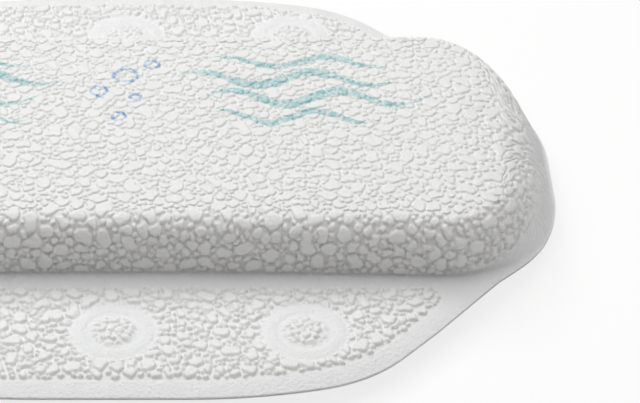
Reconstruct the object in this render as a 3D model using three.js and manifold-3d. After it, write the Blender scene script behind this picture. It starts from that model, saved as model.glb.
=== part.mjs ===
// Bath pillow: a foam block sealed between a pebbled cover sheet and a thin back film.
// The two sheets are welded together round the block, and their front and rear flanges fold along the weld.
// Each flange traps three suction cups by their button heads.
import * as THREE from "three";
import { mergeVertices } from "three/addons/utils/BufferGeometryUtils.js";
import Module from "manifold-3d";

// Driving dimensions in millimetres.
// X runs along the pillow, Y from the bather to the wall, and Z up from the cup rims.
const cushionHeight = 24; // crown edge above the sheet
const cushionHalfDepth = 63.4; // at the foot of the cushion
const cushionCorner = 46;
const crownRise = 1.1; // middle of the crown above its edge
const sidePull = 2; // long sides draw in by this much between their corners
const sideBulge = 1.6; // long walls swell by this much at half height
const sideRound = 6; // rounding of the long crown edges
const endRound = 20; // horizontal run of the rounded ends
const bellyRun = 22; // horizontal run of the rounded underside

const sheetLength = 331.6;
const endBrim = 5.3; // sheet left beyond the cushion at each end
const foldSetback = 4.1; // fold line from the foot of the cushion
const flangeDepth = 61.3; // from the fold line to the free edge
const edgeFlat = 26; // straight half of the free edge, either side of the middle
const edgeRadius = 214; // slow bow that follows it
const edgeBow = THREE.MathUtils.degToRad(13); // heading at the end of that bow
const flangeCornerRadius = 56;
const endCornerRadius = 67;
const endFlat = 12; // straight half of the short edge
const edgeDrop = 2.4; // the free edge of the sheet sags by this much
const dropWidth = 15; // over this width
const dropEase = 25; // and the sag dies away within this distance of a fold

const sheetThickness = 1.2;
const filmThickness = 0.4;
const layerGap = 0.3; // between two welded layers, and between the foam and its skins
const foldClearance = 0.3;

const cupPitch = 68;
const cupSetback = 28.25; // row of cups from the fold line
const cupRadius = 20;
const cupRimWidth = 1.8;
const cupWall = 2; // thickness of the skirt at its crown
const skirtHeight = 6.9;
const neckRadius = 3.2;
const neckLength = 2.1; // free neck between the skirt and the film
const neckClearance = 0.4;
const headRadius = 6;
const headThickness = 1.2;
const pocketClearance = 0.4;

// Mesh resolution.
const sideSteps = 8;
const cornerSteps = 7;
const endSteps = 4;
const wallSteps = 6;
const bellySteps = 3;
const flangeColumns = 24;
const flangeRows = 5;
const noseSteps = 3;
const roundSegments = 20;
const skirtSteps = 4;
const arcSteps = 6;
const halvings = 40; // of the search for the brim's edge

// Places and heights that follow from those sizes.
const cushionHalfLength = sheetLength / 2 - endBrim;
const foldHalfDepth = cushionHalfDepth + foldSetback;
const sheetHalfDepth = foldHalfDepth + flangeDepth;
const cupRowHalfDepth = foldHalfDepth + cupSetback;
const filmHeight = skirtHeight + neckLength;
const filmTop = filmHeight + filmThickness;
const sheetBottom = filmTop + layerGap;
const sheetTop = sheetBottom + sheetThickness;
const foldHeight = (filmHeight + sheetTop) / 2;
const foldRadius = (sheetTop - filmHeight) / 2;
const brimHalfDepth = foldHalfDepth - foldRadius - foldClearance;

const wasm = await Module();
wasm.setup();

// A quarter of the sheet's outline, y counted away from the middle, from the free edge to the short edge.
// The slanted stretch is the common tangent of the flange corner and the end corner.
function outlineQuarter() {
  const halfLength = sheetLength / 2;
  const bowCentre = new THREE.Vector2(edgeFlat, sheetHalfDepth - edgeRadius);
  const inward = new THREE.Vector2(-Math.sin(edgeBow), -Math.cos(edgeBow));
  const corner = bowCentre.clone().addScaledVector(inward, flangeCornerRadius - edgeRadius);
  const end = new THREE.Vector2(halfLength - endCornerRadius, endFlat);
  const span = end.clone().sub(corner);
  const turn = Math.asin((endCornerRadius - flangeCornerRadius) / span.length());
  const slant = Math.atan2(-span.y, span.x) - turn;
  const up = Math.PI / 2;
  const path = new THREE.Path();
  path.moveTo(0, sheetHalfDepth);
  path.lineTo(edgeFlat, sheetHalfDepth);
  path.absarc(bowCentre.x, bowCentre.y, edgeRadius, up, up - edgeBow, true);
  path.absarc(corner.x, corner.y, flangeCornerRadius, up - edgeBow, up - slant, true);
  path.absarc(end.x, end.y, endCornerRadius, up - slant, 0, true);
  path.lineTo(halfLength, 0);
  return path.getPoints(arcSteps);
}

const outline = outlineQuarter();

// Crossings of the outline: half the sheet's depth at x, and half its length at y.
function halfDepthAt(x) {
  const i = Math.max(1, outline.findIndex((p) => p.x >= Math.abs(x)));
  const share = (Math.abs(x) - outline[i - 1].x) / (outline[i].x - outline[i - 1].x);
  return THREE.MathUtils.lerp(outline[i - 1].y, outline[i].y, share);
}

function halfLengthAt(y) {
  const i = Math.max(1, outline.findIndex((p) => p.y <= Math.abs(y)));
  const share = (Math.abs(y) - outline[i - 1].y) / (outline[i].y - outline[i - 1].y);
  return THREE.MathUtils.lerp(outline[i - 1].x, outline[i].x, share);
}

// How far the sheet has sagged at a point: a parabola across the outer strip, nothing at the fold lines.
function droop(x, y) {
  const point = new THREE.Vector3(Math.abs(x), Math.abs(y), 0);
  let inset = Infinity;
  const nearest = new THREE.Vector3();
  for (let i = 1; i < outline.length; i++) {
    const a = new THREE.Vector3(outline[i - 1].x, outline[i - 1].y, 0);
    const b = new THREE.Vector3(outline[i].x, outline[i].y, 0);
    new THREE.Line3(a, b).closestPointToPoint(point, true, nearest);
    inset = Math.min(inset, nearest.distanceTo(point));
  }
  const share = Math.max(0, 1 - inset / dropWidth);
  const ease = Math.min(1, Math.abs(Math.abs(y) - foldHalfDepth) / dropEase);
  return edgeDrop * share * share * ease;
}

// Distance from a point of the cushion's foot, along its outward normal, to the fold edge or the outline.
function brimWidth(point, normal) {
  const x = Math.abs(point.x);
  const y = Math.abs(point.y);
  const nx = Math.abs(normal.x);
  const ny = Math.abs(normal.y);
  let low = 0;
  let high = sheetLength;
  for (let step = 0; step < halvings; step++) {
    const middle = (low + high) / 2;
    const px = x + nx * middle;
    const py = y + ny * middle;
    const inside = py < brimHalfDepth && px < halfLengthAt(py);
    if (inside) low = middle;
    else high = middle;
  }
  return low;
}

// Plan of one ring round the cushion: a rounded rectangle whose long sides draw in between the corners.
// Each entry holds the point and its outward normal. The second half is the first turned by half a turn.
function ringPlan(reachX, reachY, corner) {
  const straightX = reachX - corner;
  const straightY = reachY - corner;
  const half = [];
  for (let i = 0; i < sideSteps; i++) {
    const s = -1 + (2 * i) / sideSteps;
    const y = sidePull * (1 - s * s) - reachY;
    half.push({ point: new THREE.Vector2(s * straightX, y), normal: new THREE.Vector2(0, -1) });
  }
  const addCorner = (centreY, start) => {
    for (let i = 0; i < cornerSteps; i++) {
      const angle = start + (Math.PI / 2) * (i / cornerSteps);
      const normal = new THREE.Vector2(Math.cos(angle), Math.sin(angle));
      const point = new THREE.Vector2(straightX, centreY).addScaledVector(normal, corner);
      half.push({ point, normal });
    }
  };
  addCorner(-straightY, -Math.PI / 2);
  for (let i = 0; i < endSteps; i++) {
    const y = straightY * (-1 + (2 * i) / endSteps);
    half.push({ point: new THREE.Vector2(reachX, y), normal: new THREE.Vector2(1, 0) });
  }
  addCorner(straightY, 0);
  const turned = half.map(({ point, normal }) => ({
    point: point.clone().negate(),
    normal: normal.clone().negate(),
  }));
  return [...half, ...turned];
}

// A ring of the cushion's body, shrunk by an inset, at a height that may sag with the sheet.
function bodyRing(shrinkX, shrinkY, inset, z, sag) {
  const corner = cushionCorner - inset - Math.max(0, shrinkY);
  const plan = ringPlan(cushionHalfLength - shrinkX - inset, cushionHalfDepth - shrinkY - inset, corner);
  return plan.map(({ point }) => new THREE.Vector3(point.x, point.y, z - sag * droop(point.x, point.y)));
}

// Rings of the wall from the foot to the crown edge. The ends are a quarter ellipse, and the long walls swell
// a little and turn over a small rounding.
function wallRings(inset, footHeight) {
  const rings = [];
  for (let i = 0; i <= wallSteps; i++) {
    const share = Math.sin((Math.PI / 2) * (i / wallSteps));
    const shrinkX = endRound * (1 - Math.sqrt(Math.max(0, 1 - share * share)));
    const over = Math.max(0, share * cushionHeight - (cushionHeight - sideRound));
    const turned = sideRound - Math.sqrt(Math.max(0, sideRound * sideRound - over * over));
    const swell = sideBulge * Math.sin(Math.PI * share);
    const z = THREE.MathUtils.lerp(footHeight, sheetTop + cushionHeight - inset, share);
    rings.push(bodyRing(shrinkX, turned - swell, inset, z, 1 - share));
  }
  return rings;
}

// Rings of the underside from its flat middle up to the weld.
function bellyRings(inset, floorHeight, footHeight) {
  const rings = [];
  for (let i = 0; i <= bellySteps; i++) {
    const angle = (Math.PI / 2) * (i / bellySteps);
    const shrink = bellyRun * (1 - Math.sin(angle));
    const z = THREE.MathUtils.lerp(footHeight, floorHeight, Math.cos(angle));
    rings.push(bodyRing(shrink, shrink, inset, z, Math.sin(angle)));
  }
  return rings;
}

// The crown between its edge and its middle, as one ring at half reach.
function crownRing(inset) {
  const share = 0.5;
  const z = sheetTop + cushionHeight - inset + crownRise * (1 - share * share);
  const edge = bodyRing(endRound, sideRound, inset, z, 0);
  return edge.map((p) => new THREE.Vector3(p.x * share, p.y * share, z));
}

function crownPole(inset) {
  return new THREE.Vector3(0, 0, sheetTop + cushionHeight + crownRise - inset);
}

// Outer rim of the brim: on the fold edges in front and behind, on the sheet's outline at the ends.
function brimRing(z) {
  return ringPlan(cushionHalfLength, cushionHalfDepth, cushionCorner).map(({ point, normal }) => {
    const rim = point.clone().addScaledVector(normal, brimWidth(point, normal));
    return new THREE.Vector3(rim.x, rim.y, z - droop(rim.x, rim.y));
  });
}

function centreOf(ring) {
  const sum = ring.reduce((total, p) => total.add(p), new THREE.Vector3());
  return sum.divideScalar(ring.length);
}

// Closed skin through a stack of rings with equal point counts.
// It is drawn to a point before the first ring and after the last.
function loft(rings, startPole = centreOf(rings[0]), endPole = centreOf(rings.at(-1))) {
  const count = rings[0].length;
  const points = [startPole, ...rings.flat(), endPole];
  const last = points.length - 1;
  const index = [];
  for (let i = 0; i < count; i++) {
    const j = (i + 1) % count;
    index.push(0, 1 + j, 1 + i);
    for (let r = 0; r + 1 < rings.length; r++) {
      const low = 1 + r * count;
      const high = low + count;
      index.push(low + i, low + j, high + j, low + i, high + j, high + i);
    }
    index.push(last, last - count + i, last - count + j);
  }
  const geometry = new THREE.BufferGeometry().setFromPoints(points);
  geometry.setIndex(index);
  if (solidOf(geometry).volume() < 0) geometry.setIndex(index.reverse());
  return geometry;
}

// Boolean solids and back again.
function solidOf(geometry) {
  const bare = geometry.clone();
  bare.deleteAttribute("normal");
  bare.deleteAttribute("uv");
  const merged = mergeVertices(bare);
  return new wasm.Manifold(new wasm.Mesh({
    numProp: 3,
    vertProperties: merged.attributes.position.array,
    triVerts: new Uint32Array(merged.index.array),
  }));
}

function geometryOf(solid) {
  const mesh = solid.getMesh();
  const geometry = new THREE.BufferGeometry();
  geometry.setAttribute("position", new THREE.BufferAttribute(mesh.vertProperties, mesh.numProp));
  geometry.setIndex(new THREE.BufferAttribute(mesh.triVerts, 1));
  return geometry;
}

// A solid of revolution about Z at a place in plan. The profile lists radius and height.
function turned(profile, x, y) {
  const points = profile.map(([radius, z]) => new THREE.Vector2(radius, z));
  return new THREE.LatheGeometry(points, roundSegments).rotateX(Math.PI / 2).translate(x, y, 0);
}

// One layer of a flange, from its fold line to the sheet's edge, lofted along X.
// Its fold edge is rounded about the fold axis, so that it can swing clear of the brim.
function flangeLayer(side, low, high) {
  const noseStart = Math.asin(THREE.MathUtils.clamp((low - foldHeight) / foldRadius, -1, 1));
  const noseEnd = Math.asin(THREE.MathUtils.clamp((high - foldHeight) / foldRadius, -1, 1));
  const reach = halfLengthAt(foldHalfDepth + foldRadius);
  const section = (x) => {
    const depth = halfDepthAt(x) - foldHalfDepth;
    const ring = [];
    const addSurface = (z, reached) => {
      const y = side * (foldHalfDepth + depth * reached);
      ring.push(new THREE.Vector3(x, y, z - droop(x, y)));
    };
    const share = (i) => Math.sin((Math.PI / 2) * (i / flangeRows));
    for (let i = 1; i <= flangeRows; i++) addSurface(high, share(i));
    for (let i = flangeRows; i >= 1; i--) addSurface(low, share(i));
    for (let i = 0; i <= noseSteps; i++) {
      const angle = THREE.MathUtils.lerp(noseStart, noseEnd, i / noseSteps);
      const y = side * (foldHalfDepth - foldRadius * Math.cos(angle));
      ring.push(new THREE.Vector3(x, y, foldHeight + foldRadius * Math.sin(angle)));
    }
    return ring;
  };
  const sections = [];
  for (let i = 0; i <= flangeColumns; i++) sections.push(section(reach * (-1 + (2 * i) / flangeColumns)));
  return loft(sections);
}

const columns = [{ name: "left", x: -cupPitch }, { name: "centre", x: 0 }, { name: "right", x: cupPitch }];
const rows = [{ name: "front", side: -1 }, { name: "rear", side: 1 }];

// The pebbled flange: its sheet with a domed pocket over each cup's head.
const pocketRadius = headRadius + pocketClearance;
const headBottom = filmTop + layerGap;
const pocketTop = headBottom + headThickness + pocketClearance;
const cutFloor = filmHeight - edgeDrop - layerGap; // below every layer, however much it sags

function flangeSheet(side) {
  let solid = solidOf(flangeLayer(side, sheetBottom, sheetTop));
  const domeRadius = pocketRadius + sheetThickness;
  const domeTop = pocketTop + sheetThickness;
  const domeFoot = sheetBottom + sheetThickness / 2;
  const dome = [[0, domeFoot], [domeRadius, domeFoot], [domeRadius, sheetTop],
    [pocketRadius, domeTop], [0, domeTop]];
  const pocket = [[0, cutFloor], [pocketRadius, cutFloor], [pocketRadius, pocketTop], [0, pocketTop]];
  for (const { x } of columns) {
    solid = solid.add(solidOf(turned(dome, x, side * cupRowHalfDepth)));
    solid = solid.subtract(solidOf(turned(pocket, x, side * cupRowHalfDepth)));
  }
  return geometryOf(solid);
}

// The film behind it, with a hole for each cup's neck.
function flangeFilm(side) {
  let solid = solidOf(flangeLayer(side, filmHeight, filmTop));
  const holeRadius = neckRadius + neckClearance;
  const hole = [[0, cutFloor], [holeRadius, cutFloor], [holeRadius, headBottom], [0, headBottom]];
  for (const { x } of columns) solid = solid.subtract(solidOf(turned(hole, x, side * cupRowHalfDepth)));
  return geometryOf(solid);
}

// Suction cup in one moulding: a thin rim, a skirt that thickens to its crown, a neck and a button head.
function suctionCup(x, y) {
  const hollowRadius = cupRadius - cupRimWidth;
  const hollowHeight = skirtHeight - cupWall;
  const profile = [];
  for (let i = 0; i <= skirtSteps; i++) {
    const angle = (Math.PI / 2) * (1 - i / skirtSteps);
    profile.push([hollowRadius * Math.cos(angle), hollowHeight * Math.sin(angle)]);
  }
  profile.push([cupRadius, 0]);
  for (let i = 0; i < skirtSteps; i++) {
    const angle = (Math.PI / 2) * ((i + 1) / (skirtSteps + 1));
    const radius = neckRadius + (cupRadius - neckRadius) * Math.cos(angle);
    profile.push([radius, skirtHeight * Math.sin(angle)]);
  }
  profile.push([neckRadius, skirtHeight]);
  profile.push([neckRadius, headBottom]);
  profile.push([headRadius, headBottom]);
  profile.push([headRadius, headBottom + headThickness]);
  profile.push([0, headBottom + headThickness]);
  return turned(profile, x, y);
}

function cushionCover() {
  const inside = wallRings(sheetThickness, sheetBottom).reverse();
  const outside = wallRings(0, sheetTop);
  const under = [crownRing(sheetThickness), ...inside, brimRing(sheetBottom)];
  const over = [brimRing(sheetTop), ...outside, crownRing(0)];
  return loft([...under, ...over], crownPole(sheetThickness), crownPole(0));
}

function backFilm() {
  const outside = bellyRings(0, 0, filmHeight);
  const inside = bellyRings(filmThickness, filmThickness, filmTop).reverse();
  return loft([...outside, brimRing(filmHeight), brimRing(filmTop), ...inside]);
}

function foamCore() {
  const inset = sheetThickness + layerGap;
  const below = bellyRings(inset, filmThickness + layerGap, sheetBottom);
  const above = wallRings(inset, sheetBottom).slice(1);
  return loft([...below, ...above, crownRing(inset)], undefined, crownPole(inset));
}

const sheetLook = { color: 0xf1f1ee, roughness: 0.5, metalness: 0 };
const filmLook = { color: 0xeef0ef, roughness: 0.35, metalness: 0 };
const foamLook = { color: 0xefe4c4, roughness: 0.95, metalness: 0 };
const cupLook = { color: 0xe3e9ea, roughness: 0.2, metalness: 0 };

const pillow = new THREE.Group();

function addPiece(name, geometry, look) {
  const mesh = new THREE.Mesh(geometry, new THREE.MeshStandardMaterial(look));
  mesh.name = name;
  pillow.add(mesh);
}

addPiece("cushion_cover", cushionCover(), sheetLook);
addPiece("foam_core", foamCore(), foamLook);
addPiece("back_film", backFilm(), filmLook);
for (const row of rows) {
  addPiece(`${row.name}_flange`, flangeSheet(row.side), sheetLook);
  addPiece(`${row.name}_flange_film`, flangeFilm(row.side), filmLook);
  for (const column of columns) {
    addPiece(`cup_${row.name}_${column.name}`, suctionCup(column.x, row.side * cupRowHalfDepth), cupLook);
  }
}

export default pillow;
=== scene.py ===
import math

import bpy
import numpy as np
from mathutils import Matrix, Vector


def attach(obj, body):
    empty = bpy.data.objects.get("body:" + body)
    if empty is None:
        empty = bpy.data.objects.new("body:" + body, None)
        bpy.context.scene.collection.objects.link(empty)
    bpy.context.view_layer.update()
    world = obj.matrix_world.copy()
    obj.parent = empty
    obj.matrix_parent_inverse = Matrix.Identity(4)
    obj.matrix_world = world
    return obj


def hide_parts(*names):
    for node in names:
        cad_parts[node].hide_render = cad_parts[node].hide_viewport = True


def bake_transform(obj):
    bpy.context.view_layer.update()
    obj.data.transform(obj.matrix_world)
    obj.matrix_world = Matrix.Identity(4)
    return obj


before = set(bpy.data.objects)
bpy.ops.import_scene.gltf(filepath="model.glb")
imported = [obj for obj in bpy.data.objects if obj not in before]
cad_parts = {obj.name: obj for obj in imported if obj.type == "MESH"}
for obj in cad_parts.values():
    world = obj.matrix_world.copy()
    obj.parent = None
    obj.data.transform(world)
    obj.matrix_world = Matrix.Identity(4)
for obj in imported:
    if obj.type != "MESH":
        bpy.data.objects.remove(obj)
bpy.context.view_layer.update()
mm = 0.001
print("frame loaded:", len(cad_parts), "nodes")

# Sizes are in millimetres, as in the part's source. X runs along the pillow, Y away from the bather.
touch = 1e-6  # a length below this counts as none
halvings = 40  # rounds of a search by halving
quarter = math.pi / 2

sheetCut = {
    "halfLength": 165.8,
    "halfDepth": 128.8,
    "foldHalfDepth": 67.5,
    "seamHalfDepth": 66.0,  # where the cushion's brim hands over to the flanges
    "seamSpare": 0.6,  # a flange is as long as the sheet is this far outside the seam line
    "edgeFlat": 26.0,
    "edgeRadius": 214.0,
    "edgeBow": math.radians(13),
    "flangeCornerRadius": 56.0,
    "endCornerRadius": 67.0,
    "endFlat": 12.0,
    "arcSteps": 25,
    "edgeDrop": 2.4,
    "dropWidth": 15.0,
    "dropEase": 25.0,
    "thin": 0.85,
    "thinWidth": 3.0,
    "filmBottom": 9.0,
    "filmTop": 9.4,
    "bottom": 9.7,
    "top": 10.9,
}
seam = sheetCut["seamHalfDepth"]
sides = {"front": -1, "rear": 1}


def steps(start, end, count):
    # even steps from start to end, without start itself
    return np.linspace(start, end, count + 1)[1:]


def arcPoints(centre, radius, start, end, count):
    # points of an arc: centre + radius * (cos, sin); two radii make it an ellipse
    angle = np.linspace(start, end, count)
    return np.asarray(centre) + np.asarray(radius) * np.stack([np.cos(angle), np.sin(angle)], 1)


def outlineQuarter(cut):
    # straight free edge, slow bow, flange corner, slanted common tangent, end corner, short edge
    bowCentre = np.array([cut["edgeFlat"], cut["halfDepth"] - cut["edgeRadius"]])
    inward = -np.array([math.sin(cut["edgeBow"]), math.cos(cut["edgeBow"])])
    corner = bowCentre + inward * (cut["flangeCornerRadius"] - cut["edgeRadius"])
    end = np.array([cut["halfLength"] - cut["endCornerRadius"], cut["endFlat"]])
    span = end - corner
    turn = math.asin((cut["endCornerRadius"] - cut["flangeCornerRadius"]) / np.hypot(*span))
    slant = math.atan2(-span[1], span[0]) - turn
    bowEnd, slantAt = quarter - cut["edgeBow"], quarter - slant
    return np.concatenate([
        [[0.0, cut["halfDepth"]]],
        arcPoints(bowCentre, cut["edgeRadius"], quarter, bowEnd, cut["arcSteps"]),
        arcPoints(corner, cut["flangeCornerRadius"], bowEnd, slantAt, cut["arcSteps"])[1:],
        arcPoints(end, cut["endCornerRadius"], slantAt, 0.0, cut["arcSteps"]),
        [[cut["halfLength"], 0.0]],
    ])


outline = outlineQuarter(sheetCut)


def halfDepthAt(x):
    # the outline's y over x
    return np.interp(np.abs(x), outline[:, 0], outline[:, 1])


def halfLengthAt(y):
    # the outline's x over y
    return np.interp(np.abs(y), outline[::-1, 1], outline[::-1, 0])


def insetAt(x, y):
    # distance to the nearest stretch of the outline, negative outside it
    px, py = np.abs(x), np.abs(y)
    best = np.full(px.shape, np.inf)
    for a, b in zip(outline[:-1], outline[1:]):
        run = b - a
        share = np.clip(((px - a[0]) * run[0] + (py - a[1]) * run[1]) / (run @ run), 0, 1)
        best = np.minimum(best, np.hypot(px - a[0] - share * run[0], py - a[1] - share * run[1]))
    return np.where(py <= halfDepthAt(px) + touch, best, -best)


def edgeShare(x, y, width):
    # 1 on the outline, falling evenly to 0 at this width from it
    return np.clip(1 - np.abs(insetAt(x, y)) / width, 0, 1)


def droopAt(x, y):
    # a parabola across the outer strip of the sheet, dying away at the fold lines
    ease = np.clip(np.abs(np.abs(y) - sheetCut["foldHalfDepth"]) / sheetCut["dropEase"], 0, 1)
    return sheetCut["edgeDrop"] * edgeShare(x, y, sheetCut["dropWidth"]) ** 2 * ease


def edgeThinning(x, y):
    # the sheet is pressed thin along its edge: its underside rises there by a parabola
    return sheetCut["thin"] * edgeShare(x, y, sheetCut["thinWidth"]) ** 2


def smoothStep(low, high, value):
    # 3t^2 - 2t^3 between low and high
    t = np.clip((value - low) / (high - low), 0, 1)
    return t * t * (3 - 2 * t)


def rings(x, y, z):
    # one row of points for each ring
    return np.stack(np.broadcast_arrays(np.atleast_2d(x), y, z), -1)


def gridQuads(rows, columns, closed=False):
    # quads between neighbouring grid points; in a closed grid the last column meets the first
    r, c = np.meshgrid(np.arange(rows - 1), np.arange(columns if closed else columns - 1), indexing="ij")
    this, below, right = r * columns, (r + 1) * columns, (c + 1) % columns
    return np.stack([k.ravel() for k in (this + c, this + right, below + right, below + c)], 1)


def fanTriangles(ring, pole):
    # triangles from a closed ring of indices to one pole
    return np.stack([ring, np.roll(ring, -1), np.full(len(ring), pole)], 1)


def ringShell(shell, startPole=None, endPole=None):
    # closed rings joined by quads, with a fan of triangles to each pole that is given
    rows, count = shell.shape[:2]
    points = shell.reshape(-1, 3)
    fans = []
    for pole, first, turn in ((startPole, 0, -1), (endPole, (rows - 1) * count, 1)):
        if pole is not None:
            fans.append(fanTriangles(first + np.arange(count), len(points))[:, ::turn])
            points = np.concatenate([points, [pole]])
    return points, gridQuads(rows, count, closed=True), np.concatenate(fans)


def makePiece(name, points, quads, triangles=np.zeros((0, 3), int), uv=None, marks=None):
    # one object with its place in its mesh; a closed shell is turned so that its faces look outwards
    split = np.concatenate([quads[:, [0, 1, 2]], quads[:, [0, 2, 3]], triangles])
    a, b, c = points[split[:, 0]], points[split[:, 1]], points[split[:, 2]]
    if np.einsum("ij,ij->", a, np.cross(b, c)) < 0:
        quads, triangles = quads[:, ::-1], triangles[:, ::-1]
    loops = np.concatenate([quads.ravel(), triangles.ravel()]).astype(np.int32)
    starts = np.concatenate([np.arange(len(quads)) * 4, quads.size + np.arange(len(triangles)) * 3])
    mesh = bpy.data.meshes.new(name)
    mesh.vertices.add(len(points))
    mesh.vertices.foreach_set("co", (points * mm).astype(np.float32).ravel())
    mesh.loops.add(len(loops))
    mesh.loops.foreach_set("vertex_index", loops)
    mesh.polygons.add(len(starts))
    mesh.polygons.foreach_set("loop_start", starts.astype(np.int32))
    mesh.update(calc_edges=True)
    mesh.validate()
    mesh.shade_smooth()
    if uv is not None:
        layer = mesh.uv_layers.new(name="OFBake")
        layer.data.foreach_set("uv", uv[loops].astype(np.float32).ravel())
    for key, values in (marks or {}).items():
        attribute = mesh.attributes.new(key, "FLOAT", "POINT")
        attribute.data.foreach_set("value", values.astype(np.float32))
    piece = bpy.data.objects.new(name, mesh)
    bpy.context.scene.collection.objects.link(piece)
    return piece


# Flanges: the pebbled sheet in front of the cushion and behind it.
flange = {
    "panelColumns": 560,  # close columns over the pebbled panel, fewer beyond it
    "endColumns": 16,
    "columnSpare": 2.0,  # the close columns go this far past the panel
    "panelRows": 118,
    "borderRows": 5,
    "edgeRows": 5,
    "firstRow": 0.001,  # shares of the flange's depth where each set of rows ends
    "panelRowsEnd": 0.9,
    "borderRowsEnd": 0.984,
    "underRows": [  # the underside's rows, from share to share, are close over the cups' heads
        (1, 0.94, 4),
        (0.9, 0.68, 4),
        (0.65, 0.36, 24),
        (0.33, 0, 6),
    ],
    "panelStart": 71.0,  # inner edge of the pebbled panel
    "panelHalfLength": 117.0,
    "panelSoft": 0.8,  # rounding of the panel's corners
    "panelFar": 40.0,  # distances beyond this count as this
    "panelFade": (-1.2, -0.6),  # the pebbles end between these distances inside the panel
    "border": 8.0,  # smooth strip inside the free edge
    "relief": (1.15, 0.95),  # rise and shoulder of the pebbles
    "edgeRound": 0.25,
    "roundFrom": 2.0,  # the edge is rounded where the flange is deeper than this
    "cupPitch": 68.0,
    "cupRow": 95.75,
    "ringInner": 7.6,
    "ringOuter": 16.2,
    "ringRise": 0.6,
    "ringRipple": 0.04,
    "rippleTurn": 6 * math.pi,  # turn of the ripple's sine across a ring
    "ringLap": 1.3,  # pebbles reach this far into a ring, pressed flat towards it
    "middleRoom": 0.9,  # keeps the pebbles inside a ring small
    "middleRelief": 0.7,  # and their rise this share of the others'
    "pocketRise": 1.6,
    "pocketDome": (4.0, 10.5),  # the dome over a cup's head falls between these radii
    "hollowRise": 1.35,  # room above the cup's head
    "hollowWall": (5.8, 7.4),  # closed between these radii
    "fieldStart": 97.0,  # the flange takes its pebbles from this far out in the field
    "fieldSpare": 1.0,
    "foldGap": 0.2,  # the fold begins this far outside the seam line
    "foldEnd": 71.0,  # and is over by here
    "mapSize": (360.0, 65.0),
    "mapTop": (0.02, 0.5),  # start and height of the top in the piece's own map
    "mapUnder": (0.51, 0.48),
    "mapEnds": [(0.005, 0.5), (0.995, 0.5)],
}


def nearestCup(x, look):
    # x of the nearest cup's axis
    return np.clip(np.round(x / look["cupPitch"]), -1, 1) * look["cupPitch"]


def cupDistance(x, y, look):
    # distance to the nearest cup's axis
    return np.hypot(x - nearestCup(x, look), np.abs(y) - look["cupRow"])


def panelInside(x, y, look):
    # how far a point lies inside the pebbled panel, whose corners are softened:
    # -soft * log(sum of exp(-d / soft)), with d from the weld band, the border and the ends
    inside = np.stack([
        np.abs(y) - look["panelStart"],
        insetAt(x, y) - look["border"],
        look["panelHalfLength"] - np.abs(x),
    ])
    inside = np.clip(inside, -look["panelFar"], look["panelFar"])
    return -look["panelSoft"] * np.log(np.exp(-inside / look["panelSoft"]).sum(0))


def offRing(r, look):
    # distance from a weld ring, outwards or towards its middle, negative on the ring
    return np.maximum(r - look["ringOuter"], look["ringInner"] - r)


# The embossed pebbles are drawn once, as a field over the unrolled sheet.
pebble = {
    "seed": 41,
    "step": 0.25,  # raster pitch
    "rasterSpare": 0.001,  # keeps the last cell's far corner on the raster
    "halfWidth": 192.0,
    "halfHeight": 176.0,
    "classes": [  # largest and smallest radius, area for each pebble, throws for each one wanted
        (2.5, 1.7, 128.0, 16),
        (1.6, 1.1, 62.0, 18),
        (1.0, 0.72, 14.0, 20),
        (0.66, 0.5, 6.0, 18),
    ],
    "bend": 0.9,  # spread of the turn from one circle of a pebble to the next, in radians
    "stretch": (0.4, 1.2),  # least and most hop between its circles, in radii
    "taper": 0.16,  # each circle is smaller by this share of the first
    "longFrom": 1.1,  # pebbles of a larger radius are long chains
    "longChain": (2, 4),  # numbers of circles, the second one not reached
    "shortChain": (1, 3),
    "apart": 0.55,  # least space between two pebbles when they are thrown
    "groove": 0.26,  # half width of the groove after they have grown together
    "grow": 0.2,  # most that a pebble grows
    "far": 3.2,  # a pebble is felt this far beyond its edge
    "overlap": 0.25,  # a pebble may stand out of its panel by this much
    "warpP": [(0.3, 0.4, 1.1), (0.12, 2.3, -1.3)],  # amount of each wave, its rates along p and q
    "warpQ": [(0.3, 1.0, -0.5), (0.12, 1.7, 2.1)],
    "toe": 0.1,  # a pebble's shoulder starts this far outside its edge
    "snap": 0.65,  # share of the way that grid points slide to a pebble's edge
    "snapReach": 0.6,
    "probe": 0.15,  # the field's slope is taken over twice this length
    "leastSlope": 0.5,  # its square counts as this at least
}


def pebbleRoom(look, width, height):
    # how far every raster point lies from where no pebble may be pressed:
    # on the flanges that is outside their panels and on their rings
    p = np.arange(width) * look["step"] - look["halfWidth"]
    q = np.arange(height) * look["step"] - look["halfHeight"]
    room = np.full((height, width), look["far"])
    rows = np.flatnonzero(q > flange["fieldStart"] - flange["fieldSpare"])
    x, y = np.meshgrid(p, q[rows] - flange["fieldStart"] + seam)
    r = cupDistance(x, y, flange)
    lap = offRing(r, flange) + flange["ringLap"]
    lap = np.where(r < flange["ringInner"], np.minimum(lap, flange["middleRoom"]), lap)
    inside = np.minimum(panelInside(x, y, flange), lap)
    room[rows] = inside
    room[height - rows] = inside
    return room


def pebbleChain(look, place, radius, heading, bend, stretch, links):
    # centres and radii of a pebble's circles: each hop turns by the bend, each circle is smaller
    turn = heading + bend * np.arange(links - 1)
    hops = radius * stretch * np.stack([np.cos(turn), np.sin(turn)], 1)
    chain = place + np.concatenate([np.zeros((1, 2)), np.cumsum(hops, 0)])
    return chain, radius * (1 - look["taper"] * np.arange(links))


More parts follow.
